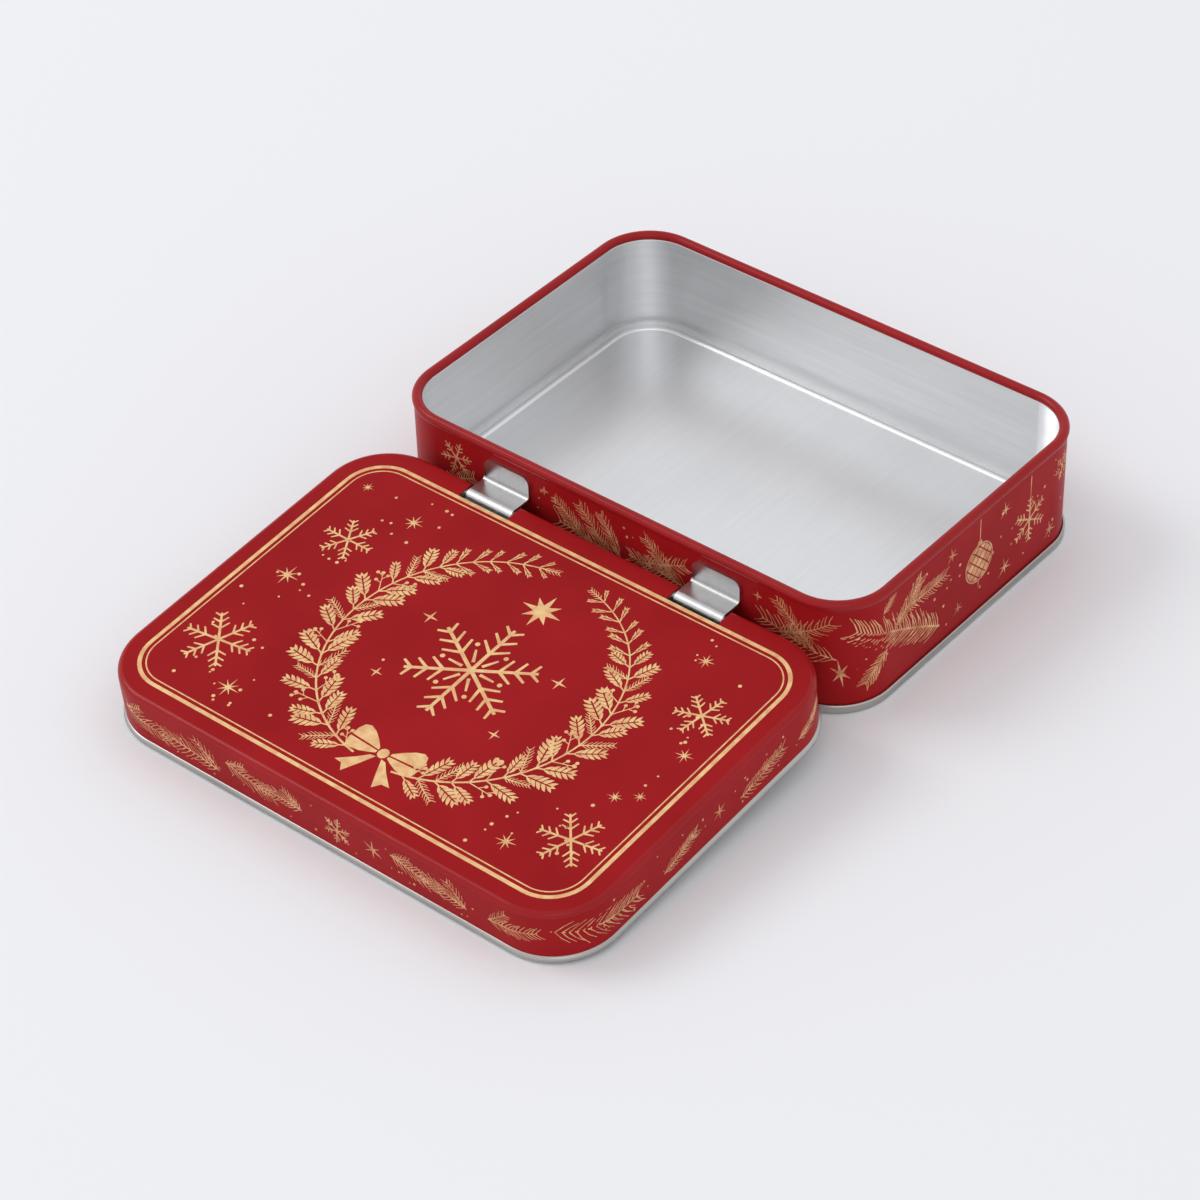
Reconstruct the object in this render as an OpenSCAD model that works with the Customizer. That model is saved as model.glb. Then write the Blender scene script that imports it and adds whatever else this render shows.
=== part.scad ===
// Hinged tin case: an open tray with a rolled rim, and a shallow lid on two curled strap hinges.
// Millimetres, +Z up. The origin is on the surface under the middle of the whole: the tray lies to +Y
// of it, with the hinges on its -Y wall, and the lid to -Y.
// As drawn, the lid lies beside the tray: its front edge rests on the surface and its rear edge
// hangs from the hinge pins, so it leans by an angle that follows from the sizes.

/* [Tray] */
// Outside length of the tray, along the hinge side
base_l = 130; // [110:1:200]
// Outside depth of the tray, from the hinge side to the far side
base_d = 91; // [70:1:140]
// Height of the tray with its rolled rim
base_h = 30.6; // [29.5:0.1:34]
// Outside radius of the tray's upright corners
corner_r = 13.8; // [9:0.1:22]
// Thickness of the tinplate of tray, bottom and lid
tin_t = 0.6; // [0.4:0.1:0.7]
// Diameter of the curl that rolls the rim inwards
curl_d = 2.4; // [2:0.1:2.8]
// How far the curl stands out past the wall
curl_proud = 0.4; // [0.2:0.1:0.6]

/* [Bottom] */
// Height of the folded seam that joins wall and bottom
seam_h = 2.4; // [2:0.1:4]
// Thickness of the seam's folds on each side of the wall
seam_t = 0.7; // [0.5:0.1:1]
// Height of the floor panel's underside above the surface
floor_z = 3; // [2.6:0.1:5]
// Inner radius of the bead that stiffens the floor
bead_r = 0.5; // [0.3:0.1:0.8]
// Distance from the tray's outside to the middle of the bead
bead_inset = 2.7; // [2.6:0.1:8]

/* [Lid] */
// How much longer and deeper the lid is than the tray that it slips over
lid_over = 2.8; // [2.4:0.1:4]
// Height of the lid from its rolled edge to its top
lid_h = 14.2; // [12:0.1:16]
// Outside radius of the shoulder between the lid's top and its walls
shoulder_r = 1.5; // [1:0.1:2]
// Diameter of the lid's rolled bottom edge
edge_d = 2; // [1.8:0.1:2.6]
// How far the rolled edge stands out past the lid's wall
edge_proud = 0.6; // [0.5:0.1:0.8]

/* [Hinges] */
// Distance of each strap's middle from the middle of the tray
hinge_x = 29.6; // [20:0.1:36]
// Width of a strap and its knuckle
strap_w = 13; // [8:0.1:18]
// Thickness of the strap metal
strap_t = 0.8; // [0.5:0.1:1]
// Height of the strap's leaf above its bend
leaf_h = 4.7; // [3:0.1:5]
// Radius of the leaf's two upper corners
leaf_r = 2; // [1:0.1:2.5]
// Inside radius of the bend between leaf and knuckle
bend_r = 0.8; // [0.4:0.1:1.2]
// How far round the pin the knuckle is rolled, in degrees
knuckle_turn = 230; // [200:5:260]
// Diameter of a hinge pin
pin_d = 2.4; // [2:0.1:2.4]
// Radial clearance of the pin in the knuckle and in the lid's ears
pin_fit = 0.05; // [0.03:0.01:0.1]
// Distance of the pins below the top of the tray's rim
pin_below = 11.2; // [10.6:0.1:11.6]
// Distance of the pins from the tray's wall
hinge_out = 5.6; // [5.4:0.1:6.4]
// Distance of the pins in from the lid's rear wall
pin_in = 2.2; // [2.1:0.1:2.6]
// Distance of the pins below the lid's top
pin_down = 2; // [2:0.1:2.4]
// Gap between a knuckle's end and the ear beside it
side_gap = 0.6; // [0.4:0.1:1]
// Clearance from the knuckle to the notch in the lid, in front and below
notch_gap = 1.3; // [1.2:0.1:2]
// Metal left around the pin in an ear
ear_rim = 1.2; // [0.8:0.1:1.6]
// Thickness of an ear
ear_t = 0.8; // [0.5:0.1:1]
// How far a pin's end stands out past its ear
pin_end = 0.4; // [0.2:0.1:1]

/* [Hidden] */
$fn = 48;
overrun = tin_t;                                // by which every cut runs past the solid
red = [0.64, 0.09, 0.11];
tin = [0.78, 0.79, 0.80];
steel = [0.70, 0.71, 0.72];

curl_r = curl_d / 2;
curl_slit = [190, 240];                         // degrees, where the curl's own edge leaves it open
edge_r = edge_d / 2;
seam_w = tin_t + 2 * seam_t;
pin_z = base_h - pin_below;
bore_r = pin_d / 2 + pin_fit;
knuckle_r = bore_r + strap_t;
ear_r = bore_r + ear_rim;
notch_r = knuckle_r + notch_gap;
lid_l = base_l + lid_over;
lid_d = base_d + lid_over;
lid_corner_r = corner_r + lid_over / 2;
pin_l = strap_w + 2 * (side_gap + ear_t + pin_end);

// The lean that puts the lid's rolled front edge on the surface: its place from the pin, then its fall
edge_back = lid_d - pin_in + edge_proud - edge_r;
edge_drop = lid_h - pin_down - edge_r;
lean = asin((pin_z - edge_r) / norm([edge_back, edge_drop])) - atan2(edge_drop, edge_back);

// How far the leaning lid's shoulder and rolled edge reach from the pins, and the places from there
shoulder_reach = (lid_d - pin_in - shoulder_r) * cos(lean) + (pin_down - shoulder_r) * sin(lean) + shoulder_r;
edge_reach = edge_back * cos(lean) - edge_drop * sin(lean) + edge_r;
pin_y = (max(shoulder_reach, edge_reach) - hinge_out - base_d - seam_t) / 2;
tray_y = pin_y + hinge_out + base_d / 2;

// Sweeps a profile round a rectangle with round corners. In the profile X points outwards from the
// rectangle and Y points up.
module sweep_round(l, d, r) {
    for (k = [0:3]) {
        a = k % 2 == 0 ? l : d;
        b = k % 2 == 0 ? d : l;
        rotate([0, 0, 90 * k]) {
            translate([a / 2, 0, 0]) rotate([90, 0, 0])
                linear_extrude(height = b - 2 * r, center = true) children();
            translate([a / 2 - r, b / 2 - r, 0]) rotate_extrude(angle = 90)
                translate([r, 0]) children();
        }
    }
}

// A flat rectangle with round corners
module round_rect(l, d, r) {
    square([l - 2 * r, d], center = true);
    square([l, d - 2 * r], center = true);
    for (x = [-1, 1], y = [-1, 1]) translate([x * (l / 2 - r), y * (d / 2 - r)]) circle(r = r);
}

// The part of a plane from one direction round to another, up to half a turn, out to a reach
module sector(from, to, reach) {
    mid = (from + to) / 2;
    polygon(reach * [[0, 0], [cos(from), sin(from)], [cos(mid), sin(mid)], [cos(to), sin(to)]]);
}

// Tray wall: plain sheet, joggled out at the top into an open inward curl
module wall_profile() {
    translate([-tin_t, tin_t]) square([tin_t, base_h - curl_r - 2 * tin_t]);
    translate([curl_proud - curl_r, base_h - curl_r]) difference() {
        circle(r = curl_r);
        circle(r = curl_r - tin_t);
        sector(curl_slit[0], curl_slit[1], 2 * curl_r);
    }
}

module base_wall() {
    color(red) translate([0, tray_y, 0]) sweep_round(base_l, base_d, corner_r) wall_profile();
}

// Bottom: the seam is folded round the wall's lower edge, and the panel carries a raised bead
module seam_profile() {
    r = seam_w / 2;
    difference() {
        translate([seam_t - r, 0]) {
            for (x = [-1, 1]) translate([x * (r - seam_t), seam_t]) circle(r = seam_t);
            translate([seam_t - r, 0]) square([tin_t, seam_t]);
            translate([-r, seam_t]) square([seam_w, seam_h - 3 * seam_t / 2]);
            translate([-r, seam_t]) square([seam_t, floor_z + tin_t - seam_t]);
            translate([r - seam_t / 2, seam_h - seam_t / 2]) circle(r = seam_t / 2);
        }
        translate([-tin_t, tin_t]) square([tin_t, seam_h]);
    }
}

module bead_profile(r) {
    intersection() {
        circle(r = r);
        translate([-r, 0]) square([2 * r, r]);
    }
}

module base_bottom() {
    panel_in = tin_t + seam_t / 2;
    bead = [base_l - 2 * bead_inset, base_d - 2 * bead_inset, corner_r - bead_inset];
    color(tin) translate([0, tray_y, 0]) {
        sweep_round(base_l, base_d, corner_r) seam_profile();
        translate([0, 0, floor_z]) difference() {
            union() {
                linear_extrude(height = tin_t)
                    round_rect(base_l - 2 * panel_in, base_d - 2 * panel_in, corner_r - panel_in);
                sweep_round(bead[0], bead[1], bead[2]) bead_profile(bead_r + tin_t);
            }
            sweep_round(bead[0], bead[1], bead[2]) bead_profile(bead_r);
        }
    }
}

// Puts what is drawn around the pins, with its rear to +Y, where the leaning lid is
module on_lid() {
    translate([0, pin_y, pin_z]) rotate([lean, 0, 0]) children();
}

// From the pins to the middle of the lid's outline and to the plane of its rolled edge
module lid_outline() {
    translate([0, pin_in - lid_d / 2, pin_down - lid_h]) children();
}

module lid_profile() {
    translate([-tin_t, tin_t]) square([tin_t, lid_h - shoulder_r - tin_t]);
    translate([-shoulder_r, lid_h - shoulder_r]) intersection() {
        difference() {
            circle(r = shoulder_r);
            circle(r = shoulder_r - tin_t);
        }
        square(shoulder_r);
    }
}

module notch() {
    w = strap_w + 2 * side_gap;
    translate([-w / 2, -notch_r, -notch_r])
        cube([w, notch_r + pin_in + overrun, notch_r + pin_down + overrun]);
}

// An ear turned down beside the notch, with the bore that holds the pin's end
module ear() {
    back = pin_in - tin_t;
    up = pin_down - tin_t;
    rotate([90, 0, 90]) linear_extrude(height = ear_t) difference() {
        intersection() {
            union() {
                circle(r = ear_r);
                translate([-ear_r, 0]) square([ear_r + back, up]);
                translate([0, -ear_r]) square([back, ear_r]);
            }
            translate([-ear_r, -ear_r]) square([ear_r + back, ear_r + up]);
        }
        circle(r = bore_r);
    }
}

module lid_shell() {
    color(red) on_lid() {
        difference() {
            lid_outline() {
                sweep_round(lid_l, lid_d, lid_corner_r) lid_profile();
                translate([0, 0, lid_h - tin_t]) linear_extrude(height = tin_t)
                    round_rect(lid_l - 2 * shoulder_r, lid_d - 2 * shoulder_r, lid_corner_r - shoulder_r);
            }
            for (s = [-1, 1]) translate([s * hinge_x, 0, 0]) notch();
        }
        for (s = [-1, 1]) translate([s * hinge_x, 0, 0]) {
            translate([strap_w / 2 + side_gap, 0, 0]) ear();
            translate([-strap_w / 2 - side_gap - ear_t, 0, 0]) ear();
        }
    }
}

// Lid's bottom edge: a roll folded round the wall's lower edge
module edge_profile() {
    difference() {
        translate([edge_proud - edge_r, edge_r]) circle(r = edge_r);
        translate([-tin_t, tin_t]) square([tin_t, edge_d]);
    }
}

module lid_rim() {
    color(tin) on_lid() lid_outline() sweep_round(lid_l, lid_d, lid_corner_r) edge_profile();
}

// Strap seen from its end, drawn around the pin: an open knuckle, the bridge to the wall and the bend
module strap_profile() {
    bridge = hinge_out - strap_t - bend_r;
    difference() {
        circle(r = knuckle_r);
        circle(r = bore_r);
        sector(90 + knuckle_turn - 360, 90, 2 * knuckle_r);
        translate([0, bore_r]) square([2 * knuckle_r, 2 * knuckle_r]);
    }
    translate([0, bore_r]) square([bridge, strap_t]);
    translate([bridge, knuckle_r + bend_r]) intersection() {
        difference() {
            circle(r = bend_r + strap_t);
            circle(r = bend_r);
        }
        translate([0, -bend_r - strap_t]) square(bend_r + strap_t);
    }
}

module hinge_strap(s) {
    color(steel) translate([s * hinge_x, pin_y, pin_z]) {
        rotate([90, 0, 90]) linear_extrude(height = strap_w, center = true) strap_profile();
        translate([0, hinge_out, knuckle_r + bend_r]) rotate([90, 0, 0]) linear_extrude(height = strap_t) {
            translate([-strap_w / 2, 0]) square([strap_w, leaf_h - leaf_r]);
            translate([leaf_r - strap_w / 2, 0]) square([strap_w - 2 * leaf_r, leaf_h]);
            for (x = [-1, 1]) translate([x * (strap_w / 2 - leaf_r), leaf_h - leaf_r]) circle(r = leaf_r);
        }
    }
}

module hinge_pin(s) {
    color(steel) on_lid() translate([s * hinge_x, 0, 0]) rotate([0, 90, 0])
        cylinder(d = pin_d, h = pin_l, center = true);
}

base_wall();
base_bottom();
lid_shell();
lid_rim();
hinge_strap(-1);  // hinge_strap_left
hinge_strap(1);  // hinge_strap_right
hinge_pin(-1);  // hinge_pin_left
hinge_pin(1);  // hinge_pin_right
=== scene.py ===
"""Dresses the hinged tin case: red lacquer with a gold print, brushed tinplate, bright hinges, a studio."""
import math
import random

import bpy
from mathutils import Matrix, Vector


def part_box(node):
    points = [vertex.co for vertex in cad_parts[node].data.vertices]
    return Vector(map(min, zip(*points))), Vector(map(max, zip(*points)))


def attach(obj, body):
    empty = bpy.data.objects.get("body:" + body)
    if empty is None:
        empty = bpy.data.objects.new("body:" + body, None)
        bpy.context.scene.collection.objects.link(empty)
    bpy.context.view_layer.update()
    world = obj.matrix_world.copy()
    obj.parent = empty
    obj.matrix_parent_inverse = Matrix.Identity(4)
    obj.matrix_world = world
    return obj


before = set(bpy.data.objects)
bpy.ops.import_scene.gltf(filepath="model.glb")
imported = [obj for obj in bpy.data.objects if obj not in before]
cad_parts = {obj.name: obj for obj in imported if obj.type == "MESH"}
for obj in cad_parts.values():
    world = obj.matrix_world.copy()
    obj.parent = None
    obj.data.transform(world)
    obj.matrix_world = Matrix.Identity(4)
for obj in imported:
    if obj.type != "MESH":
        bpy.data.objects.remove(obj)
random.seed(7)
MM = 0.001
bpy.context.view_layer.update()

# Sizes in metres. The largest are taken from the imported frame.
TIN = 0.6 * MM                      # sheet thickness
CORNER = 13.8 * MM                  # tray's corner radius
CURL = 2.4 * MM                     # height of the rolled rim
SEAM_TOP = 2.6 * MM                 # just above the folded seam
SHOULDER = 1.5 * MM                 # lid's shoulder radius
PROUD = 0.4 * MM                    # how far the rim's curl stands out past the wall
wall_lo, wall_hi = (Vector(v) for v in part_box("base_wall"))
TRAY_L = wall_hi.x - wall_lo.x - 2 * PROUD
TRAY_D = wall_hi.y - wall_lo.y - 2 * PROUD
TRAY_H = wall_hi.z
TRAY_Y = (wall_lo.y + wall_hi.y) / 2   # the tray's middle
OVER = 2.8 * MM                     # lid longer than tray
LID_L, LID_D = TRAY_L + OVER, TRAY_D + OVER
LID_H = 14.2 * MM                   # from the foot of the lid's rolled edge to its top
LID_CORNER = CORNER + OVER / 2
PIN_IN, PIN_DOWN = 2.2 * MM, 2.0 * MM   # pins from the lid's rear wall and top
pin_lo, pin_hi = (Vector(v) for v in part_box("hinge_pin_left"))
HINGE_X = abs(pin_lo.x + pin_hi.x) / 2 / MM     # each hinge from the middle, in mm
PIN = Vector((0.0, (pin_lo.y + pin_hi.y) / 2, (pin_lo.z + pin_hi.z) / 2))
EDGE_R, EDGE_PROUD = 1.0 * MM, 0.6 * MM     # the rolled edge's radius, and how far it stands out
edge_back = LID_D - PIN_IN + EDGE_PROUD - EDGE_R
edge_drop = LID_H - PIN_DOWN - EDGE_R
LEAN = math.asin((PIN.z - EDGE_R) / math.hypot(edge_back, edge_drop)) - math.atan2(edge_drop, edge_back)

# From the lid's own frame (middle of its rolled edge's plane) to the world at rest
LID = (Matrix.Translation(PIN) @ Matrix.Rotation(LEAN, 4, "X")
       @ Matrix.Translation((0.0, PIN_IN - LID_D / 2, PIN_DOWN - LID_H)))


# Shader nodes
def new_material(name):
    mat = bpy.data.materials.new(name)
    mat.use_nodes = True
    nt = mat.node_tree
    return mat, nt, nt.nodes["Principled BSDF"]


def node(nt, kind, **values):
    n = nt.nodes.new(kind)
    for key, val in values.items():
        setattr(n, key, val)
    return n


def object_place(nt):
    return node(nt, "ShaderNodeTexCoord").outputs["Object"]


def math_node(nt, op, a, b=None):
    n = node(nt, "ShaderNodeMath", operation=op)
    for i, v in enumerate((a, b)):
        if v is None:
            continue
        if isinstance(v, (int, float)):
            n.inputs[i].default_value = v
        else:
            nt.links.new(v, n.inputs[i])
    return n.outputs[0]


def noise(nt, coords, scale, detail, stretch=(1.0, 1.0, 1.0)):
    m = node(nt, "ShaderNodeMapping")
    m.inputs["Scale"].default_value = stretch
    nt.links.new(coords, m.inputs["Vector"])
    n = node(nt, "ShaderNodeTexNoise")
    n.inputs["Scale"].default_value = scale
    n.inputs["Detail"].default_value = detail
    nt.links.new(m.outputs[0], n.inputs["Vector"])
    return n.outputs["Fac"]


def separate(nt, vector):
    n = node(nt, "ShaderNodeSeparateXYZ")
    nt.links.new(vector, n.inputs[0])
    return n.outputs


def ramp(nt, fac, span, low, high):
    """Goes from the low to the high colour over the given span of the factor."""
    r = node(nt, "ShaderNodeValToRGB")
    for element, position, colour in zip(r.color_ramp.elements, span, (low, high)):
        element.position = position
        element.color = (*colour, 1.0)
    nt.links.new(fac, r.inputs["Fac"])
    return r.outputs["Color"]


def spread(nt, fac, lo, hi):
    m = node(nt, "ShaderNodeMapRange")
    m.inputs["To Min"].default_value = lo
    m.inputs["To Max"].default_value = hi
    nt.links.new(fac, m.inputs["Value"])
    return m.outputs[0]


def mix(nt, fac, a, b):
    """Colour a where the factor is 0 and colour b where it is 1."""
    m = node(nt, "ShaderNodeMix", data_type="RGBA")
    for socket, value in zip((0, 6, 7), (fac, a, b)):       # the factor and the two colours
        nt.links.new(value, m.inputs[socket])
    return m.outputs[2]


def bump(nt, bsdf, height, strength, distance):
    b = node(nt, "ShaderNodeBump")
    b.inputs["Strength"].default_value = strength
    b.inputs["Distance"].default_value = distance
    nt.links.new(height, b.inputs["Height"])
    nt.links.new(b.outputs[0], bsdf.inputs["Normal"])


# Materials. Each has a low and a high colour, and noise runs between them.
RED_LO, RED_HI = (0.315, 0.0080, 0.0105), (0.390, 0.0110, 0.0140)
EDGE_LO, EDGE_HI = (0.36, 0.355, 0.335), (0.52, 0.51, 0.48)
# The tray floor's tinplate is painted lighter than the walls' tinplate (TIN) as a painted highlight of its
# upward face
FLOOR_PAINTED_HIGHLIGHT_LO, FLOOR_PAINTED_HIGHLIGHT_HI = (0.770, 0.775, 0.785), (0.880, 0.885, 0.895)
TIN_LO, TIN_HI = (0.655, 0.658, 0.662), (0.715, 0.718, 0.722)
STEEL_LO, STEEL_HI = (0.50, 0.50, 0.50), (0.72, 0.72, 0.72)
GOLD_LO, GOLD_HI = (0.79, 0.42, 0.19), (0.93, 0.63, 0.29)
COPPER_LO, COPPER_HI = (0.58, 0.24, 0.10), (0.88, 0.52, 0.27)
METAL_SPAN, LACQUER_SPAN, INK_SPAN = (0.3, 0.72), (0.3, 0.75), (0.36, 0.64)   # used part of the noise
RED_SHEEN, METAL_SHEEN = 0.06, 0.5
COAT, COAT_ROUGHNESS = 0.3, 0.16
FINE_SHARE = 0.3                    # share of the brush marks in a metal's noise
INK_METAL = 0.3


def brushed(name, low, high, rough, stretch):
    """Metal with brush marks along the axes whose stretch is small."""
    mat, nt, bsdf = new_material(name)
    co = object_place(nt)
    fine = noise(nt, co, scale=900.0, detail=4.0, stretch=stretch)
    broad = noise(nt, co, scale=22.0, detail=3.0)
    both = math_node(nt, "ADD", math_node(nt, "MULTIPLY", fine, FINE_SHARE),
                     math_node(nt, "MULTIPLY", broad, 1.0 - FINE_SHARE))
    nt.links.new(ramp(nt, both, METAL_SPAN, low, high), bsdf.inputs["Base Color"])
    nt.links.new(spread(nt, both, rough - 0.05, rough + 0.07), bsdf.inputs["Roughness"])
    bsdf.inputs["Metallic"].default_value = 1.0
    bump(nt, bsdf, fine, strength=0.04, distance=0.01 * MM)
    return mat, nt, bsdf


def positive_length(nt, values):
    """Length of a vector, with its negative values taken as 0."""
    far = [math_node(nt, "MAXIMUM", v, 0.0) for v in values]
    squares = [math_node(nt, "MULTIPLY", v, v) for v in far]
    return math_node(nt, "SQRT", math_node(nt, "ADD", *squares))


def from_shoulder(nt, x, y, z, size, top, shoulder):
    """How far a point lies from the centres of the shoulder's curve: its own radius on the outer face.

    The face is a rectangle with round corners of the given length, depth and radius.
    """
    length, depth, radius = size
    past = [math_node(nt, "SUBTRACT", math_node(nt, "ABSOLUTE", v), half - radius)
            for v, half in ((x, length / 2), (y, depth / 2))]
    side = math_node(nt, "MINIMUM", math_node(nt, "MAXIMUM", *past), 0.0)
    outside = math_node(nt, "SUBTRACT", math_node(nt, "ADD", positive_length(nt, past), side), radius)
    from_centres = [math_node(nt, "SUBTRACT", v, edge)
                    for v, edge in ((outside, -shoulder), (z, top - shoulder))]
    return positive_length(nt, from_centres)


def lacquered_sheet(name, middle, lean, size, top, shoulder, coat_band):
    """Red lacquer outside and bare tinplate inside, told apart by how deep a point lies in the sheet.

    The outer face is drawn around middle and leaned about X, and a shoulder rounds it off to the top.
    The coat lies between two heights, where the sheet is rolled or pressed.
    """
    mat, nt, bsdf = new_material(name)
    co = object_place(nt)
    local = node(nt, "ShaderNodeMapping", vector_type="TEXTURE")
    local.inputs["Location"].default_value = middle
    local.inputs["Rotation"].default_value = (lean, 0.0, 0.0)
    nt.links.new(co, local.inputs["Vector"])
    x, y, z = separate(nt, local.outputs[0])
    bare = math_node(nt, "LESS_THAN", from_shoulder(nt, x, y, z, size, top, shoulder), shoulder - TIN / 2)
    grain = noise(nt, co, scale=700.0, detail=4.0, stretch=(0.05, 0.05, 1.0))
    metal = ramp(nt, grain, METAL_SPAN, TIN_LO, TIN_HI)
    red = ramp(nt, noise(nt, co, scale=45.0, detail=3.0), LACQUER_SPAN, RED_LO, RED_HI)
    nt.links.new(mix(nt, bare, red, metal), bsdf.inputs["Base Color"])
    nt.links.new(bare, bsdf.inputs["Metallic"])
    nt.links.new(spread(nt, bare, RED_SHEEN, METAL_SHEEN), bsdf.inputs["Specular IOR Level"])
    nt.links.new(spread(nt, noise(nt, co, scale=160.0, detail=4.0), 0.33, 0.41), bsdf.inputs["Roughness"])
    rolled = math_node(nt, "MULTIPLY", math_node(nt, "GREATER_THAN", z, coat_band[0]),
                       math_node(nt, "LESS_THAN", z, coat_band[1]))
    nt.links.new(math_node(nt, "MULTIPLY", rolled, COAT), bsdf.inputs["Coat Weight"])
    bsdf.inputs["Coat Roughness"].default_value = COAT_ROUGHNESS
    bump(nt, bsdf, noise(nt, co, scale=2600.0, detail=2.0), strength=0.05, distance=0.02 * MM)
    return mat


def tray_bottom():
    """Tinplate panel inside, painted lighter than the walls' tinplate as a painted highlight, and a duller
    folded seam round the wall's foot.
    """
    mat, nt, bsdf = brushed("bare_tinplate_painted_highlight", FLOOR_PAINTED_HIGHLIGHT_LO, FLOOR_PAINTED_HIGHLIGHT_HI, rough=0.33, stretch=(1.0, 0.05, 1.0))
    co = object_place(nt)
    # the panel's colour carries a painted highlight: it is lighter than the same tinplate on the walls
    panel = bsdf.inputs["Base Color"].links[0].from_socket
    grain = noise(nt, co, scale=300.0, detail=3.0, stretch=(0.1, 0.1, 1.0))
    seam = ramp(nt, grain, METAL_SPAN, EDGE_LO, EDGE_HI)
    low = math_node(nt, "LESS_THAN", separate(nt, co)[2], SEAM_TOP)
    nt.links.new(mix(nt, low, panel, seam), bsdf.inputs["Base Color"])
    return mat


def ink(name, low, high):
    mat, nt, bsdf = new_material(name)
    co = object_place(nt)
    mottle = noise(nt, co, scale=420.0, detail=4.0)
    nt.links.new(ramp(nt, mottle, INK_SPAN, low, high), bsdf.inputs["Base Color"])
    nt.links.new(spread(nt, noise(nt, co, scale=500.0, detail=2.0), 0.40, 0.55), bsdf.inputs["Roughness"])
    bsdf.inputs["Metallic"].default_value = INK_METAL
    return mat


def dress(name, mat):
    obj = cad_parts[name]
    for slot in obj.material_slots:
        slot.material = mat
    if not obj.material_slots:
        obj.data.materials.append(mat)


CURL_FOOT = TRAY_H - CURL * 0.86    # the lacquer runs over the curl down to this height inside
TRAY_LACQUER = lacquered_sheet("tray_lacquer", middle=(0.0, TRAY_Y, 0.0), lean=0.0,
                               size=(TRAY_L, TRAY_D, CORNER), top=CURL_FOOT + TIN / 2, shoulder=TIN,
                               coat_band=(TRAY_H - CURL * 0.95, TRAY_H + TIN))
LID_LACQUER = lacquered_sheet("lid_lacquer", middle=LID.translation, lean=LEAN,
                              size=(LID_L, LID_D, LID_CORNER), top=LID_H, shoulder=SHOULDER,
                              coat_band=(LID_H - SHOULDER * 0.8, LID_H - TIN / 30))
TINPLATE = tray_bottom()
EDGE = brushed("rolled_edge", EDGE_LO, EDGE_HI, rough=0.30, stretch=(0.1, 0.1, 1.0))[0]
STEEL = brushed("hinge_steel", STEEL_LO, STEEL_HI, rough=0.28, stretch=(1.0, 0.06, 0.06))[0]
GOLD = ink("gold_ink", GOLD_LO, GOLD_HI)
COPPER = ink("copper_ink", COPPER_LO, COPPER_HI)

dress("base_wall", TRAY_LACQUER)
dress("base_bottom", TINPLATE)
dress("lid_shell", LID_LACQUER)
dress("lid_rim", EDGE)
for side in ("left", "right"):
    dress("hinge_strap_" + side, STEEL)
    dress("hinge_pin_" + side, STEEL)


# The print is drawn in millimetres on a plane and laid on the sheet as thin solids
INK_UP, INK_DOWN = 0.03 * MM, 0.05 * MM     # the ink's top above the sheet, and its foot in it
INK_STEP, INK_STEPS = 0.0006 * MM, 12       # shapes that cross lie at slightly different heights
LAYER_STEP = 0.008 * MM                     # and a drawing over another lies a layer higher
SMALLEST_AREA, SHORTEST_STROKE = 1e-5, 1e-6     # what is under these is left out
STROKE_OVERLAP = 0.2                        # of its width, by which a stroke's pieces overlap
TWIG_STEPS = 8
NEEDLE_LEAN, NEEDLE_SWEEP = 48, 12          # degrees from the twig, and how far a needle bends at its middle

# A snowflake's side arms, in shares of its radius
FLAKE_LEAN = 52                             # degrees between an arm and its side arms
SIDE_ARM_FROM, SIDE_ARM_PITCH = 0.42, 0.24  # where the first pair stands, and how much further the next
SIDE_ARM, SIDE_ARM_LESS = 0.30, 0.05        # the first pair's length, and how much shorter the next is

# A leaf, in shares of its length along the midrib and of its width across it
LEAF_FROM, LEAF_LOBED = 0.10, 0.84          # where the lobes start, and the length that they share
LEAF_TIP, LEAF_END, TIP_HALF = 0.94, 1.06, 0.12     # the tip's foot, its point and half its width
LEAF_STALK, STALK_WIDTH = (-0.16, 0.14), 0.34       # the stalk's two ends, and its width in mm
LEAF_RIB = (0.035, 0.05)                    # half the bare midrib: a share of the width, and more in mm
# Outer points of a lobe, as shares of a lobe's length along the midrib and of its height
LOBE = ((1.22, 0.60), (1.52, 1.04), (0.92, 0.92), (0.42, 0.60))
BERRY_LEAN, BERRY_STALK = 48, 0.28          # degrees from the stalk, and a side stalk's share of its length


def polar(c, r, a):
    return (c[0] + r * math.cos(a), c[1] + r * math.sin(a))


def between(a, b, f):
    return (a[0] + (b[0] - a[0]) * f, a[1] + (b[1] - a[1]) * f)


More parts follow.
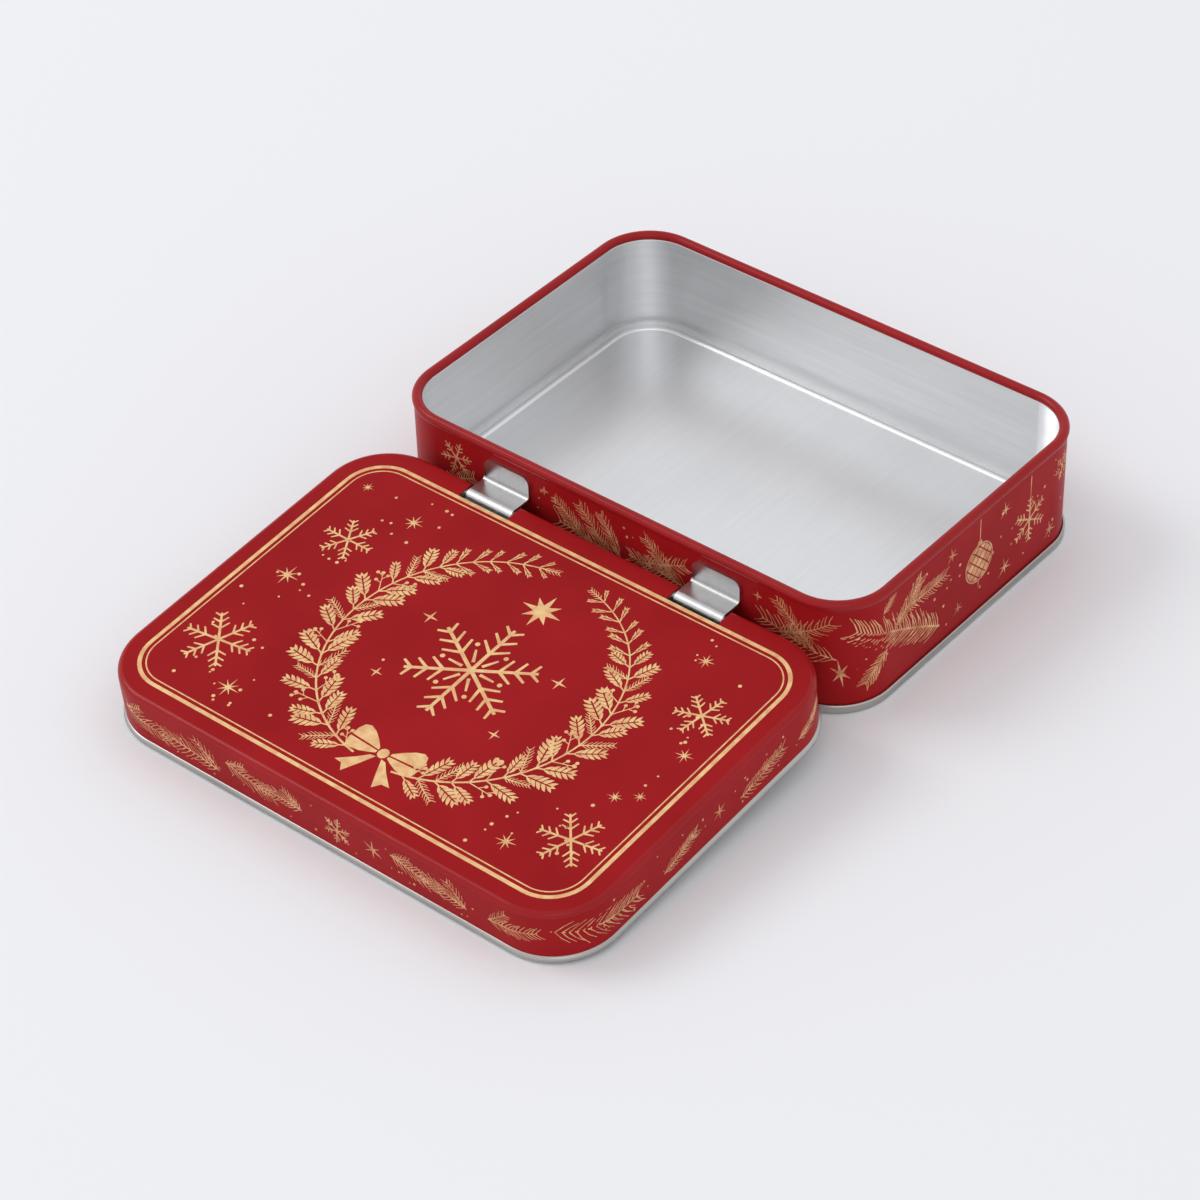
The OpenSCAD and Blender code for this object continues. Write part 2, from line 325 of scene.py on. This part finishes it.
class Print:
    """Collects the shapes of one print, which ride together on a body."""

    def __init__(self, name, place, body, material, band=None):
        self.name, self.place, self.body, self.material, self.band = name, place, body, material, band
        self.verts, self.faces, self.count, self.layer = [], [], 0, 0

    def shape(self, pts, close_fan=None):
        """A closed outline, split into a fan round close_fan when that is given."""
        if self.band:       # the sheet's printed band ends here
            pts = [(u, min(max(v, self.band[0]), self.band[1])) for u, v in pts]
        area = sum(a[0] * b[1] - b[0] * a[1] for a, b in zip(pts, pts[1:] + pts[:1]))
        if abs(area) < SMALLEST_AREA:
            return
        if area < 0:
            pts = pts[::-1]
        n, base = len(pts), len(self.verts)
        top = INK_UP + self.layer * LAYER_STEP + self.count % INK_STEPS * INK_STEP
        self.count += 1
        for h in (top, -INK_DOWN):
            self.verts += [self.place(u * MM, v * MM, h) for u, v in pts]
        for i in range(n):
            j = (i + 1) % n
            self.faces.append((base + i, base + n + i, base + n + j, base + j))
        if close_fan is None:
            self.faces.append(tuple(base + i for i in range(n)))
            self.faces.append(tuple(base + n + i for i in reversed(range(n))))
        else:
            for h, up in ((top, True), (-INK_DOWN, False)):
                self.verts.append(self.place(close_fan[0] * MM, close_fan[1] * MM, h))
                c, off = len(self.verts) - 1, base if up else base + n
                for i in range(n):
                    j = (i + 1) % n
                    self.faces.append((off + i, off + j, c) if up else (off + j, off + i, c))

    def stroke(self, pts, w0, w1=None):
        """A ribbon along a line that tapers from width w0 to w1."""
        w1 = w0 if w1 is None else w1
        for k, (a, b) in enumerate(zip(pts, pts[1:])):
            d = Vector((b[0] - a[0], b[1] - a[1]))
            if d.length < SHORTEST_STROKE:
                continue
            t0, t1 = k / (len(pts) - 1), (k + 1) / (len(pts) - 1)
            across = Vector((-d.y, d.x)).normalized() / 2
            wa, wb = w0 + (w1 - w0) * t0, w0 + (w1 - w0) * t1
            past = d.normalized() * min(wa, wb) * STROKE_OVERLAP
            # Each corner's end of the line, its width there, its side and its sense along the line
            corners = ((a, wa, 1, -1), (a, wa, -1, -1), (b, wb, -1, 1), (b, wb, 1, 1))
            self.shape([(p[0] + s * across.x * w + t * past.x, p[1] + s * across.y * w + t * past.y)
                        for p, w, s, t in corners])

    def dot(self, c, r, sides=8):
        self.shape([polar(c, r, math.tau * i / sides) for i in range(sides)])

    def star(self, c, r, rays=8, waist=0.22, turn=90.0, long=1.0):
        """Every second ray has the share long of the radius, and the notches between have the waist's."""
        share = (1.0, waist, long, waist)
        self.shape([polar(c, r * share[i % 4], math.radians(turn) + math.pi * i / rays)
                    for i in range(2 * rays)], close_fan=c)

    def flake(self, c, r, w, turn=0.0, pairs=3):
        """A snowflake of six arms with pairs of side arms."""
        for k in range(6):
            a = math.radians(turn) + math.pi * k / 3
            self.stroke([c, polar(c, r, a)], w, w * 0.8)
            for i in range(pairs):
                p = polar(c, r * (SIDE_ARM_FROM + SIDE_ARM_PITCH * i), a)
                side_arm = r * (SIDE_ARM - SIDE_ARM_LESS * i)
                for s in (-1, 1):
                    end = polar(p, side_arm, a + s * math.radians(FLAKE_LEAN))
                    self.stroke([p, end], w * 0.85, w * 0.6)
        self.dot(c, w * 1.1, 6)

    def sprig(self, c, angle, length, w, needles=15, reach=0.24, bend=12.0):
        """A pine twig: a bent stem with needles that sweep towards its tip."""
        pts, p, a = [], Vector(c), math.radians(angle)
        for i in range(TWIG_STEPS + 1):
            pts.append((p.x, p.y))
            p = p + Vector((math.cos(a), math.sin(a))) * (length / TWIG_STEPS)
            a += math.radians(bend) / TWIG_STEPS
        self.stroke(pts, w * 1.2, w * 0.8)
        for i in range(needles):
            t = (i + 0.6) / needles * TWIG_STEPS
            k = min(int(t), TWIG_STEPS - 1)
            root = between(pts[k], pts[k + 1], t - k)
            ahead = math.atan2(pts[k + 1][1] - pts[k][1], pts[k + 1][0] - pts[k][0])
            longest = length * reach * (0.55 + 0.45 * math.sin(math.pi * (0.25 + 0.65 * i / needles)))
            for s in (-1, 1):
                v = ahead + s * math.radians(NEEDLE_LEAN + random.uniform(-7, 7))
                half = longest * random.uniform(0.85, 1.1) / 2
                mid = polar(root, half, v)
                tip = polar(mid, half, v - s * math.radians(NEEDLE_SWEEP))
                self.stroke([root, mid, tip], w * 0.8, w * 0.4)

    def leaf(self, c, angle, length, width, lobes=5):
        """A leaf of pointed lobes on both sides of a midrib, with the bare lacquer left as its veins."""
        a = math.radians(angle)
        ux, uy = math.cos(a), math.sin(a)

        def at(x, y):
            return (c[0] + x * ux - y * uy, c[1] + x * uy + y * ux)

        step = length * LEAF_LOBED / lobes
        rib = LEAF_RIB[0] * width + LEAF_RIB[1]
        for s in (-1, 1):
            for i in range(lobes):
                x = length * LEAF_FROM + i * step
                bulge = width / 2 * math.sin(math.pi * (0.20 + 0.70 * i / lobes)) ** 0.8
                self.shape([at(x, s * rib), at(x + step * 0.80, s * rib)]
                           + [at(x + step * f, s * bulge * g) for f, g in LOBE])
        tip = length * LEAF_TIP
        self.shape([at(tip, -width * TIP_HALF), at(length * LEAF_END, 0.0),
                    at(tip, width * TIP_HALF), at(tip - step * 0.3, 0.0)])
        self.stroke([at(f * length, 0.0) for f in LEAF_STALK], STALK_WIDTH)

    def berries(self, c, angle, length):
        """A fine stalk with a few round berries on side stalks."""
        a = math.radians(angle)
        end = polar(c, length, a)
        self.stroke([c, end], 0.26, 0.18)
        self.dot(end, 0.5)
        for f, s in ((0.45, 1), (0.65, -1), (0.85, 1)):
            p = between(c, end, f)
            berry = polar(p, length * BERRY_STALK, a + s * math.radians(BERRY_LEAN))
            self.stroke([p, berry], 0.2)
            self.dot(berry, 0.45)

    def build(self):
        """Makes one piece of all the shapes."""
        mesh = bpy.data.meshes.new(self.name)
        mesh.from_pydata([tuple(v) for v in self.verts], [], self.faces)
        mesh.update()
        obj = bpy.data.objects.new(self.name, mesh)
        bpy.context.scene.collection.objects.link(obj)
        mesh.materials.append(self.material)
        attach(obj, self.body)


# Print on the lid's top, in millimetres from its middle
BORDER = (2 * 61.2, 2 * 41.36)
BORDER_Y = -0.44                    # moved forward, so that its rear side keeps clear of the hinge notches
BORDER_R, BORDER_ARC_STEPS = 9.5, 12
WREATH_R = 33.5
WREATH_C = (2.0, 1.0)
BRANCHES = ((-1, 262, 103), (1, 280, 434))      # its sense round the ring, and its angles at foot and tip
LEAF_PAIRS = 25
LEAF_LENGTHS = (6.4, 7.6, 7.6)              # in turn along a branch
LEAF_WIDTHS = (0.50, 0.42, 0.46)            # shares of a leaf's length, in turn
LEAF_LEAN, LEAF_SWAY = 42, 10               # degrees from the stem, and more for every second pair
LEAF_GAP = 0.9                              # from the stem's middle to a leaf's foot
TAPER_FROM, TAPER = 0.55, 0.9               # where along a branch its leaves start to shrink, and how fast
SMALL_FROM = 0.78                           # and from where they are small and plain
SMALL_LEAF = (0.72, 0.26)                   # their length and width, as shares of a full leaf's length
STEM_STEPS = 40
BOW = (3.0, -29.0)
STAR = (2.8, 23.0)
FLAKE = (WREATH_C[0], 0.4)
DOTS, DOT_RADII = 70, (0.26, 0.36, 0.46)


def on_lid_top(u, v, h):
    return LID @ Vector((u, v, LID_H + h))


def border(target, inset, w):
    """One line of the border, a rectangle with round corners."""
    length, depth, r = BORDER[0] / 2 - inset, BORDER[1] / 2 - inset, BORDER_R - inset
    pts = []
    for k in range(4):
        a, b = (length, depth) if k % 2 == 0 else (depth, length)
        c, s = math.cos(math.pi / 2 * k), math.sin(math.pi / 2 * k)
        for i in range(BORDER_ARC_STEPS + 1):
            q = polar((a - r, b - r), r, math.radians(90 * i / BORDER_ARC_STEPS))
            pts.append((q[0] * c - q[1] * s, BORDER_Y + q[0] * s + q[1] * c))
    target.stroke(pts + pts[:1], w)


def on_ring(angle):
    return polar(WREATH_C, WREATH_R, math.radians(angle))


def branch(target, side, start, stop):
    """Half of the wreath: lobed leaves, twigs and berries in turn, with plain small leaves to the tip."""
    stem = [on_ring(start + (stop - start) * i / STEM_STEPS) for i in range(STEM_STEPS + 1)]
    target.stroke(stem, 0.5, 0.3)
    for i in range(LEAF_PAIRS):
        f = (i + 0.7) / LEAF_PAIRS
        ang = start + (stop - start) * f
        p = on_ring(ang)
        length = LEAF_LENGTHS[i % 3] * (1.0 if f < TAPER_FROM else 1.0 - TAPER * (f - TAPER_FROM))
        for out in (-1, 1):
            lean = ang + 90 * side - out * side * (LEAF_LEAN + LEAF_SWAY * (i % 2))
            q = polar(p, LEAF_GAP, math.radians(lean))
            kind = (2 * i + out) % 5
            if f > SMALL_FROM:
                target.leaf(q, lean, length * SMALL_LEAF[0], length * SMALL_LEAF[1], lobes=3)
            elif kind < 3:
                target.leaf(q, lean, length, length * LEAF_WIDTHS[kind])
            elif kind == 3:
                target.sprig(p, lean, length * 0.95, 0.28, needles=8, reach=0.24, bend=8)
            else:
                target.berries(p, lean, length * 0.8)
    target.sprig(on_ring(stop), stop + 90 * side, 4.0, 0.28, needles=5, reach=0.34, bend=0)


def bow_part(target, pts):
    full = [(BOW[0] + x, BOW[1] + y) for x, y in pts]
    middle = (sum(p[0] for p in full) / len(full), sum(p[1] for p in full) / len(full))
    target.shape(full, close_fan=middle)


def bow(target):
    """Two loops that are each split by a fold left in red, two tails with a notched end, and the knot."""
    upper = [(1.6, 0.35), (1.7, 0.95), (3.4, 2.6), (5.6, 4.2),
             (7.4, 4.9), (8.7, 4.4), (9.3, 2.9), (9.4, 0.9)]
    lower = [(1.6, -0.05), (9.4, 0.35), (9.3, -1.1), (8.8, -2.2),
             (7.4, -2.6), (5.0, -2.2), (3.0, -1.4), (1.6, -0.7)]
    tail = [(0.8, -1.5), (2.1, -1.7), (4.2, -3.9), (7.6, -6.8), (5.6, -7.0), (4.3, -8.8), (2.5, -5.2)]
    for s in (-1, 1):
        for part in (upper, lower, tail):
            bow_part(target, [(s * x, y) for x, y in part])
    knot = [(1.3 * math.cos(t * math.pi / 5), 1.45 * math.sin(t * math.pi / 5)) for t in range(10)]
    bow_part(target, knot)


def middle_of_wreath(target):
    """In place of the lettering: a large snowflake between small stars, under the wreath's star."""
    target.star(STAR, 5.2, rays=8, waist=0.36, turn=90, long=0.85)
    target.flake(FLAKE, 14.5, 0.95, turn=30, pairs=3)
    for k in range(6):      # short rays between the flake's arms, each with a dot past its end
        a = math.radians(60 * k)
        target.stroke([polar(FLAKE, r, a) for r in (2.6, 6.2)], 0.8, 0.5)
        target.dot(polar(FLAKE, 8.0, a), 0.6)
    for dx, dy, r in ((-18.0, 8.0, 2.1), (18.0, 8.0, 2.1), (-16.5, -11.5, 1.7), (16.5, -11.5, 1.7)):
        target.star((FLAKE[0] + dx, dy), r, rays=4, waist=0.2)


def outside_wreath(target):
    """Snowflakes, stars and dots between the wreath and the border."""
    for x, y, r, w, turn in ((-49.5, -23.5, 8.2, 0.62, 8), (-47.5, 16.4, 6.2, 0.5, 0),
                             (50.8, 17.7, 6.0, 0.5, 20), (50.8, -25.5, 7.2, 0.55, 10)):
        target.flake((x, y), r, w, turn=turn)
    for x, y, r in ((-51.0, 0.2, 3.2), (-37.6, -33.2, 3.0), (40.2, -33.4, 2.6), (55.0, 6.4, 2.2),
                    (-39.0, 28.9, 2.6), (41.5, 31.0, 2.2), (50.6, -11.0, 1.8), (54.8, -8.0, 1.6),
                    (-55.5, 32.0, 1.6)):
        target.star((x, y), r, rays=8, waist=0.2, turn=90 + 10 * (x > 0), long=0.8)
    for i in range(DOTS):
        while True:
            x, y = random.uniform(-57, 57), random.uniform(-38, 38)
            ring = math.hypot(x - WREATH_C[0], y - WREATH_C[1])
            if ring > 44 and not (abs(x) > 52 and abs(y) > 34):     # clear of the border's corners
                break
            if 18 < ring < 23 and random.random() < 0.02:           # a few inside the wreath, too
                break
        target.dot((x, y), random.choice(DOT_RADII), 7)


lid_print = Print("lid_print", on_lid_top, "lid", GOLD)
border(lid_print, inset=0.0, w=0.95)
border(lid_print, inset=1.45, w=0.32)
for sense, foot, tip in BRANCHES:
    branch(lid_print, sense, foot, tip)
lid_print.layer = 1         # the bow lies over the wreath
bow(lid_print)
lid_print.layer = 0
middle_of_wreath(lid_print)
outside_wreath(lid_print)
lid_print.build()


# Prints on the walls, in millimetres: u from the middle of a side, as seen from outside, and v upwards
RIGHT, REAR, FRONT = 0, 1, 3        # the sides +X, +Y and -Y, counted round the wall
HINGE_CLEAR = 8.0                   # half a strap's width and its side gap, with a margin
PRINT_GAP = 1.5                     # between two drawings on a side that the photograph hardly shows
PAST_CORNER = 8.0                   # how far such a side's print runs on round a corner


class Wall:
    """The outside of a wall with round corners. Its u runs round it from the middle of the +X side."""

    def __init__(self, length, depth, radius, base):
        self.length, self.depth, self.radius, self.base = length, depth, radius, base
        self.straight = (depth - 2 * radius, length - 2 * radius)
        self.arc = math.pi * radius / 2
        # In mm: from one side's middle to the next one's, and half the straight run of a side and the rear
        self.gap = (self.straight[0] + self.straight[1]) / MM / 2 + self.arc / MM
        self.half_side, self.half_rear = self.straight[0] / MM / 2, self.straight[1] / MM / 2

    def place(self, u, v, h):
        """The point at u round the wall, v up and h out of it, all in metres."""
        total = 2 * (self.straight[0] + self.straight[1]) + 4 * self.arc
        s = (u + self.straight[0] / 2) % total
        r = self.radius
        for k in range(4):
            run = self.straight[k % 2]
            a, b = (self.length, self.depth) if k % 2 == 0 else (self.depth, self.length)
            if s <= run:
                p = Vector((a / 2 + h, s - run / 2, v))
                break
            s -= run
            if s <= self.arc:
                t = s / r
                p = Vector((a / 2 - r + (r + h) * math.cos(t), b / 2 - r + (r + h) * math.sin(t), v))
                break
            s -= self.arc
        return self.base @ (Matrix.Rotation(math.pi / 2 * k, 4, "Z") @ p)

    def from_side(self, k):
        """The same place, with u counted from the middle of side k."""
        return lambda u, v, h: self.place(u + k * self.gap * MM, v, h)


LID_WALL = Wall(LID_L, LID_D, LID_CORNER, LID)
LID_BAND = (2.7, LID_H / MM - 1.9)
LID_MID = (LID_BAND[0] + LID_BAND[1]) / 2
TRAY_WALL = Wall(TRAY_L, TRAY_D, CORNER, Matrix.Translation((0.0, TRAY_Y, 0.0)))
TRAY_BAND = (3.4, (TRAY_H - CURL) / MM - 0.6)
FORK = (-28.9, 17.8)                # where the large twig on the tray's right side branches


def twig(target, start, end, w, reach, needles):
    """A sprig from start to end, slightly bent."""
    d = (end[0] - start[0], end[1] - start[1])
    turn = math.degrees(math.atan2(d[1], d[0]))
    target.sprig(start, turn - 5, math.hypot(*d), w, needles=needles, reach=reach, bend=10)


def decorate(target, start, stop, big, small, seed, keep_off=()):
    """Fills a band of wall with twigs, snowflakes and stars in turn, and leaves the keep_off places free."""
    rng = random.Random(seed)
    low, high = target.band
    u, k, mid, room = start, 0, (low + high) / 2, high - low
    while u < stop - big:
        if any(u < c + HINGE_CLEAR and u + big > c - HINGE_CLEAR for c in keep_off):
            u += 1.0
            continue
        rise = rng.uniform(-0.2, 0.2) * room
        if k % 2 == 0:
            side_tip = (u + big * 0.9, mid + room * 0.34)
            twig(target, (u, mid - rise), (u + big, mid + rise), w=0.32, reach=0.24, needles=18)
            twig(target, (u + big * 0.4, mid), side_tip, w=0.26, reach=0.3, needles=10)
            u += big + PRINT_GAP
        elif k % 4 == 1:
            target.flake((u + small, mid), small, 0.36, turn=rng.uniform(0, 30), pairs=2)
            u += 2 * small + PRINT_GAP
        else:
            target.star((u + small, mid), small * 0.8, rays=6, waist=0.18)
            u += 2 * small + PRINT_GAP
        k += 1


def print_lid_front():
    target = Print("lid_wall_print_front", LID_WALL.from_side(FRONT), "lid", COPPER, LID_BAND)
    for start, end in (((-57.0, 8.6), (-43.0, 6.6)), ((-29.0, 5.4), (-45.0, 7.4)),
                       ((-26.5, 9.4), (-13.0, 7.0)), ((-5.0, 7.6), (-17.0, 7.8)),
                       ((20.0, 9.6), (33.0, 7.4)), ((40.0, 5.8), (28.0, 8.4)), ((46.0, 6.8), (58.0, 8.6))):
        twig(target, start, end, w=0.28, reach=0.25, needles=13)
        side_tip = (start[0] * 0.6 + end[0] * 0.4, LID_MID + 3.6)
        twig(target, start, side_tip, w=0.24, reach=0.32, needles=7)
    target.flake((5.0, 7.6), 3.8, 0.36, turn=20, pairs=2)
    target.star((14.9, 8.0), 2.6, rays=6, waist=0.18)
    return target


def print_lid_right():
    target = Print("lid_wall_print_right", LID_WALL.from_side(RIGHT), "lid", COPPER, LID_BAND)
    for start, end in (((-46.0, 9.4), (-24.0, 6.6)), ((-15.5, 5.0), (-4.5, 8.4)),
                       ((10.0, 5.4), (24.5, 8.0)), ((30.0, 6.0), (39.0, 9.6))):
        twig(target, start, end, w=0.28, reach=0.23, needles=15)
        side_root = (start[0] * 0.5 + end[0] * 0.5, LID_MID)
        twig(target, side_root, end, w=0.24, reach=0.32, needles=7)
    target.star((3.0, 7.4), 2.2, rays=6, waist=0.18)
    return target


def print_lid_rest():
    """The lid's rear side, clear of the hinges, and its left side."""
    target = Print("lid_wall_print_rear", LID_WALL.from_side(REAR), "lid", COPPER, LID_BAND)
    rear, gap, half = LID_WALL.half_rear, LID_WALL.gap, LID_WALL.half_side
    decorate(target, -rear, rear, big=13.0, small=3.4, seed=3, keep_off=(-HINGE_X, HINGE_X))
    decorate(target, gap - half, gap + half, big=13.0, small=3.4, seed=4)
    return target


def bauble(target, c, r):
    """A glass ball on a thread: bands of lozenges inside a ring, with a cap above and a drop below."""
    target.stroke([(c[0], c[1] + r * 1.2), (c[0], TRAY_BAND[1])], 0.24)
    target.stroke([(c[0], c[1] - r), (c[0], c[1] - r * 1.45)], 0.22, 0.1)
    target.shape([(c[0] - 0.9, c[1] + r * 0.97), (c[0] + 0.9, c[1] + r * 0.97),
                  (c[0] + 0.7, c[1] + r * 1.22), (c[0] - 0.7, c[1] + r * 1.22)])
    target.stroke([polar(c, r, math.pi * i / 16) for i in range(33)], 0.34)
    cell, rows = r * 0.42, 5
    half = cell * 0.42      # of a lozenge's side, a little less than half its cell
    for i in range(rows):
        for j in range(rows):
            cx, cy = (i - rows // 2) * cell, (j - rows // 2) * cell
            if math.hypot(cx, cy) > r:
                continue
            pts = []
            for sx, sy in ((-1, -1), (1, -1), (1, 1), (-1, 1)):
                x, y = cx + sx * half, cy + sy * half
                x, y = (x - y) * math.sqrt(0.5), (x + y) * math.sqrt(0.5)
                pull = min(1.0, r * 0.93 / math.hypot(x, y))    # keeps it inside the ring
                pts.append((c[0] + x * pull, c[1] + y * pull))
            target.shape(pts)


def print_tray_right():
    """A large twig, a bauble and a snowflake that hang from the rim, and stars."""
    target = Print("tray_print", TRAY_WALL.from_side(RIGHT), "tray", COPPER, TRAY_BAND)
    twig(target, (-12.4, 7.2), (-40.5, 22.0), w=0.40, reach=0.19, needles=34)
    twig(target, FORK, (-20.0, 25.6), w=0.34, reach=0.28, needles=16)
    twig(target, (-25.0, 20.6), (-10.6, 20.6), w=0.32, reach=0.22, needles=18)
    twig(target, (-31.9, 13.6), (-37.9, 7.0), w=0.34, reach=0.34, needles=14)
    twig(target, (-33.4, 24.4), (-30.0, 27.6), w=0.28, reach=0.4, needles=8)
    target.star((-43.6, 11.2), 4.0, rays=8, waist=0.2, turn=100, long=0.7)
    bauble(target, (2.3, 15.6), 5.0)
    target.stroke([(21.8, 21.0), (21.8, TRAY_BAND[1])], 0.24)
    target.flake((21.8, 15.3), 5.8, 0.5, turn=30, pairs=3)
    target.flake((34.6, 22.6), 3.6, 0.32, turn=10, pairs=2)
    for x, z, r in ((-8.3, 24.2, 2.4), (12.0, 24.2, 2.4), (12.6, 7.6, 3.0),
                    (-5.3, 7.5, 2.0), (30.4, 7.2, 2.6)):
        target.star((x, z), r, rays=6, waist=0.16, turn=100, long=0.7)
    return target


def print_tray_front():
    """On the hinge side the twigs keep clear of the straps."""
    target = Print("tray_print_hinge_side", TRAY_WALL.from_side(FRONT), "tray", COPPER, TRAY_BAND)
    for start, end in (((4.0, 15.0), (-15.0, 18.6)), ((-1.0, 16.0), (-9.1, 26.0)),
                       ((2.0, 17.0), (-3.0, 26.2)), ((-6.0, 15.6), (-15.5, 24.0)),
                       ((21.5, 17.0), (5.5, 18.6)), ((18.0, 17.4), (9.5, 25.6)),
                       ((7.0, 18.0), (20.5, 23.6)), ((60.0, 15.0), (41.5, 19.6)),
                       ((55.0, 17.0), (45.4, 26.4)), ((46.0, 18.0), (58.5, 25.0))):
        twig(target, start, end, w=0.28, reach=0.25, needles=15)
    target.flake((-45.0, 22.4), 4.6, 0.42, turn=12, pairs=2)
    twig(target, (-52.0, 14.0), (-40.0, 19.0), w=0.32, reach=0.26, needles=16)
    for x, z in ((-19.1, 25.2), (-16.0, 24.4), (40.4, 25.0), (-1.0, 10.0),
                 (14.0, 9.0), (-50.0, 8.0), (50.0, 8.5)):
        target.star((x, z), 1.3, rays=4, waist=0.3)
    return target


def print_tray_rest():
    """The tray's rear and left sides. Each runs a little way round the corner."""
    target = Print("tray_print_round", TRAY_WALL.from_side(REAR), "tray", COPPER, TRAY_BAND)
    rear, gap, half = TRAY_WALL.half_rear, TRAY_WALL.gap, TRAY_WALL.half_side
    decorate(target, -rear, rear + PAST_CORNER, big=18.0, small=5.0, seed=5)
    decorate(target, gap - half - PAST_CORNER, gap + half, big=18.0, small=5.0, seed=6)
    return target


def snow(target, start, stop, count, r):
    """Fine dots like snow over a printed wall."""
    low, high = target.band
    for i in range(count):
        u, v = random.uniform(start, stop), random.uniform(low + 0.5, high - 0.5)
        target.dot((u, v), r * random.choice((0.8, 1.0, 1.3)), 6)


lid_front = print_lid_front()
lid_right = print_lid_right()
lid_rest = print_lid_rest()
tray_right = print_tray_right()
tray_front = print_tray_front()
tray_rest = print_tray_rest()
for target, start, stop, count, r in ((lid_front, -58, 58, 34, 0.24), (lid_right, -40, 40, 24, 0.24),
                                      (tray_right, -46, 40, 44, 0.32), (tray_front, -22, 22, 16, 0.28),
                                      (tray_rest, -50, 50, 40, 0.32),
                                      (tray_rest, TRAY_WALL.gap - 30, TRAY_WALL.gap + 30, 24, 0.32)):
    snow(target, start, stop, count, r)
for target in (lid_front, lid_right, lid_rest, tray_right, tray_front, tray_rest):
    target.build()


# Studio
FLOOR_HALF = 4.0
FLOOR_COLOUR, AIR_COLOUR = (0.93, 0.935, 0.955, 1.0), (0.95, 0.955, 0.975, 1.0)
AIR, STUDIO_WHITE = 0.78, 0.90      # strength of the surrounding light, and of the studio as it is seen
AIM = (0.0, 0.0, 0.0)
FRAME_PX = 1200.0
FOCAL_PX = 3829.9
SENSOR = 36.0
CAM_YAW, CAM_PITCH, CAM_ROLL = (math.radians(v) for v in (40.447, 39.67, -1.878))
CAM_FROM_TRAY = (423.7, -501.6, 548.1)      # in mm, from the foot of the tray's hinge side


def lay_floor():
    mesh = bpy.data.meshes.new("floor")
    corners = [(x * FLOOR_HALF, y * FLOOR_HALF, 0) for x, y in ((-1, -1), (1, -1), (1, 1), (-1, 1))]
    mesh.from_pydata(corners, [], [(0, 1, 2, 3)])
    floor = bpy.data.objects.new("floor", mesh)
    bpy.context.scene.collection.objects.link(floor)
    mat, _, bsdf = new_material("floor")
    bsdf.inputs["Base Color"].default_value = FLOOR_COLOUR
    bsdf.inputs["Roughness"].default_value = 0.9
    bsdf.inputs["Specular IOR Level"].default_value = 0.0
    mesh.materials.append(mat)


def light_air():
    """The air lights the object softly, and what the camera and the metal see of it is a brighter studio."""
    world = bpy.data.worlds.new("studio")
    bpy.context.scene.world = world
    world.use_nodes = True
    nt = world.node_tree
    background = nt.nodes["Background"]
    background.inputs["Color"].default_value = AIR_COLOUR
    path = node(nt, "ShaderNodeLightPath").outputs
    seen = math_node(nt, "ADD", path["Is Camera Ray"], path["Is Glossy Ray"])
    nt.links.new(spread(nt, seen, AIR, STUDIO_WHITE), background.inputs["Strength"])


def lamp(name, place, side, watts):
    """A square lamp that faces the object."""
    data = bpy.data.lights.new(name, "AREA")
    data.shape, data.size, data.size_y, data.energy = "RECTANGLE", side, side, watts
    obj = bpy.data.objects.new(name, data)
    bpy.context.scene.collection.objects.link(obj)
    obj.location = place
    obj.rotation_euler = (Vector(AIM) - Vector(place)).to_track_quat("-Z", "Y").to_euler()


def place_camera():
    """Stands where a camera model fitted to the photograph's edges stands."""
    data = bpy.data.cameras.new("camera")
    data.sensor_width = SENSOR
    data.lens = SENSOR * FOCAL_PX / FRAME_PX
    data.clip_start = 0.01
    cam = bpy.data.objects.new("camera", data)
    bpy.context.scene.collection.objects.link(cam)
    ahead = Vector((-math.sin(CAM_YAW) * math.cos(CAM_PITCH), math.cos(CAM_YAW) * math.cos(CAM_PITCH),
                    -math.sin(CAM_PITCH)))
    level = Vector((math.cos(CAM_YAW), math.sin(CAM_YAW), 0.0))
    upright = level.cross(ahead)
    right = level * math.cos(CAM_ROLL) + upright * math.sin(CAM_ROLL)
    up = -level * math.sin(CAM_ROLL) + upright * math.cos(CAM_ROLL)
    place = Vector(CAM_FROM_TRAY) * MM + Vector((0.0, TRAY_Y - TRAY_D / 2, 0.0))
    cam.matrix_world = Matrix(((right.x, up.x, -ahead.x, place.x), (right.y, up.y, -ahead.y, place.y),
                               (right.z, up.z, -ahead.z, place.z), (0, 0, 0, 1)))
    bpy.context.scene.camera = cam


lay_floor()
light_air()
lamp("key", (-2.2, -0.9, 2.2), side=1.5, watts=24.0)
lamp("fill", (1.6, -1.8, 1.9), side=1.6, watts=5.0)
place_camera()
bpy.context.scene.view_settings.view_transform = "Standard"
